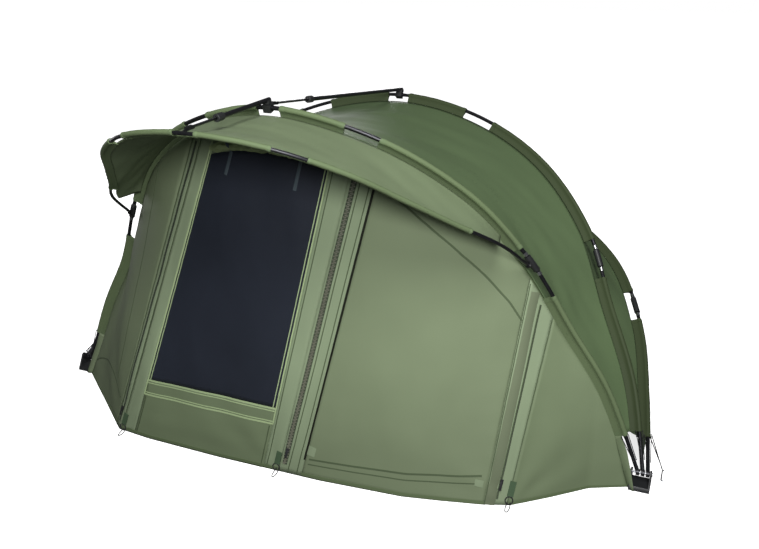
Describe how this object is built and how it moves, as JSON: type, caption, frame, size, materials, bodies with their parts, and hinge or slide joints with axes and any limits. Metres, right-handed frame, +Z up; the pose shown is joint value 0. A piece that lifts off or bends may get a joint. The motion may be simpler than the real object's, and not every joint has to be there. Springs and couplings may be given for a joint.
{
  "type": "bivvy tent",
  "caption": "Low one-person bivvy tent: arched pole ribs folding from a foot block on each side, hooped visor, mesh door with zips, telescopic tension bars.",
  "frame": {"origin": "on the ground, in the middle of the tent's width and of its depth from the visor's edge to the rear hem", "axes": "+X towards the right foot block seen from the front, +Y towards the rear wall, +Z up; the door faces -Y"},
  "size_m": [2.89, 2.6285, 1.5005],
  "materials": {
    "canopy_cloth": "coated woven polyester, moss green",
    "sleeve_cloth": "coated woven polyester, dark green",
    "zip_tape": "woven zip tape, pale green",
    "mesh_cloth": "fine black insect mesh",
    "pole_metal": "aluminium tube, black anodised",
    "bar_metal": "dark anodised",
    "black_plastic": "moulded",
    "webbing": "dark green webbing and elastic",
    "ring_steel": "plated"
  },
  "bodies": {
    "ground": {"foot_block_right": "black_plastic", "foot_block_left": "black_plastic", "foot_pin_right": "ring_steel", "foot_pin_left": "ring_steel", "hub_elastic_right": "webbing", "hub_elastic_left": "webbing", "peg_hook_right": "ring_steel", "peg_hook_left": "ring_steel", "rear_wall": "canopy_cloth", "rear_peg_loop_right": "webbing", "rear_peg_loop_left": "webbing"},
    "rear_rib": {"rear_rib_leg_right": "pole_metal", "rear_rib_leg_left": "pole_metal", "rear_rib_knuckle_right": "black_plastic", "rear_rib_knuckle_left": "black_plastic", "rear_rib_crown_pole": "pole_metal", "rear_rib_sleeve": "sleeve_cloth", "rear_canopy": "canopy_cloth"},
    "middle_rib": {"middle_rib_leg_right": "pole_metal", "middle_rib_leg_left": "pole_metal", "middle_rib_knuckle_right": "black_plastic", "middle_rib_knuckle_left": "black_plastic", "middle_rib_crown_pole": "pole_metal", "middle_rib_sleeve": "sleeve_cloth", "middle_crown_clamp": "black_plastic", "front_canopy": "canopy_cloth"},
    "front_rib": {"front_rib_leg_right": "pole_metal", "front_rib_leg_left": "pole_metal", "front_rib_knuckle_right": "black_plastic", "front_rib_knuckle_left": "black_plastic", "front_rib_crown_pole": "pole_metal", "front_rib_sleeve": "sleeve_cloth", "front_crown_clamp": "black_plastic", "visor_panel": "canopy_cloth", "left_wing_panel": "canopy_cloth", "left_zip_tape": "zip_tape", "door_left_band": "zip_tape", "door_kick_panel": "canopy_cloth", "door_mesh_window": "mesh_cloth", "door_head_band": "canopy_cloth", "door_right_band": "zip_tape", "middle_zip_tape": "zip_tape", "right_window_panel": "canopy_cloth", "right_zip_tape": "zip_tape", "right_wing_panel": "canopy_cloth", "door_cover_roll": "canopy_cloth", "front_peg_loop_left": "webbing", "front_peg_loop_middle": "webbing", "front_peg_loop_right": "webbing"},
    "visor": {"visor_hoop_pole": "pole_metal", "visor_sleeve": "sleeve_cloth"},
    "front_bar_rod": {"front_bar_rod": "bar_metal"},
    "front_bar_tube": {"front_bar_tube": "bar_metal"},
    "front_bar_collar": {"front_bar_collar": "black_plastic"},
    "rear_bar_rod": {"rear_bar_rod": "bar_metal"},
    "rear_bar_tube": {"rear_bar_tube": "bar_metal"},
    "rear_bar_collar": {"rear_bar_collar": "black_plastic"},
    "left_zip_slider": {"left_zip_slider": "black_plastic"},
    "middle_zip_slider": {"middle_zip_slider": "black_plastic"},
    "right_zip_slider": {"right_zip_slider": "black_plastic"}
  },
  "joints": [
    {"name": "rear_rib_fold", "type": "hinge", "parent": "ground", "child": "rear_rib", "pos_m": [0, -0.3699, 0.06], "axis": [-1, 0, 0], "range_deg": [0, 26], "deforming": ["rear_wall", "hub_elastic_right", "hub_elastic_left"]},
    {"name": "middle_rib_fold", "type": "hinge", "parent": "rear_rib", "child": "middle_rib", "pos_m": [0, -0.3699, 0.06], "axis": [-1, 0, 0], "range_deg": [0, 21], "deforming": ["rear_canopy"]},
    {"name": "front_rib_fold", "type": "hinge", "parent": "middle_rib", "child": "front_rib", "pos_m": [0, -0.3699, 0.06], "axis": [-1, 0, 0], "range_deg": [0, 26], "deforming": ["front_canopy"]},
    {"name": "visor_fold", "type": "hinge", "parent": "front_rib", "child": "visor", "pos_m": [0, -0.51158, 0.90834], "axis": [-1, 0, 0], "range_deg": [0, 25], "deforming": ["visor_panel"]},
    {"name": "front_bar_swing", "type": "hinge", "parent": "visor", "child": "front_bar_rod", "pos_m": [0, -1.2871, 1.47955], "axis": [1, 0, 0], "range_deg": [0, 50]},
    {"name": "front_bar_slide", "type": "slide", "parent": "front_bar_rod", "child": "front_bar_tube", "axis": [0, -0.9997, -0.0256], "range_m": [0, 0.11]},
    {"name": "front_bar_twist", "type": "hinge", "parent": "front_bar_tube", "child": "front_bar_collar", "pos_m": [0, -1.13215, 1.48351], "axis": [0, 0.9997, 0.0256], "range_deg": [0, 90]},
    {"name": "rear_bar_swing", "type": "hinge", "parent": "front_rib", "child": "rear_bar_rod", "pos_m": [0, -0.77241, 1.47527], "axis": [1, 0, 0], "range_deg": [0, 52]},
    {"name": "rear_bar_slide", "type": "slide", "parent": "rear_bar_rod", "child": "rear_bar_tube", "axis": [0, -0.9952, 0.098], "range_m": [0, 0.21]},
    {"name": "rear_bar_twist", "type": "hinge", "parent": "rear_bar_tube", "child": "rear_bar_collar", "pos_m": [0, -0.50869, 1.44931], "axis": [0, 0.9952, -0.098], "range_deg": [0, 90]},
    {"name": "left_zip_run", "type": "slide", "parent": "front_rib", "child": "left_zip_slider", "axis": [0.356, 0.0321, 0.9339], "range_m": [0, 1.244]},
    {"name": "middle_zip_run", "type": "slide", "parent": "front_rib", "child": "middle_zip_slider", "axis": [0.2412, 0.0547, 0.9689], "range_m": [0, 1.194]},
    {"name": "right_zip_run", "type": "slide", "parent": "front_rib", "child": "right_zip_slider", "axis": [0.0881, 0.3352, 0.938], "range_m": [0, 0.638]}
  ],
  "couplings": [
    {"joint": "front_bar_swing", "follows": "visor_fold", "ratio": 2},
    {"joint": "rear_bar_swing", "follows": "front_rib_fold", "ratio": 2}
  ]
}
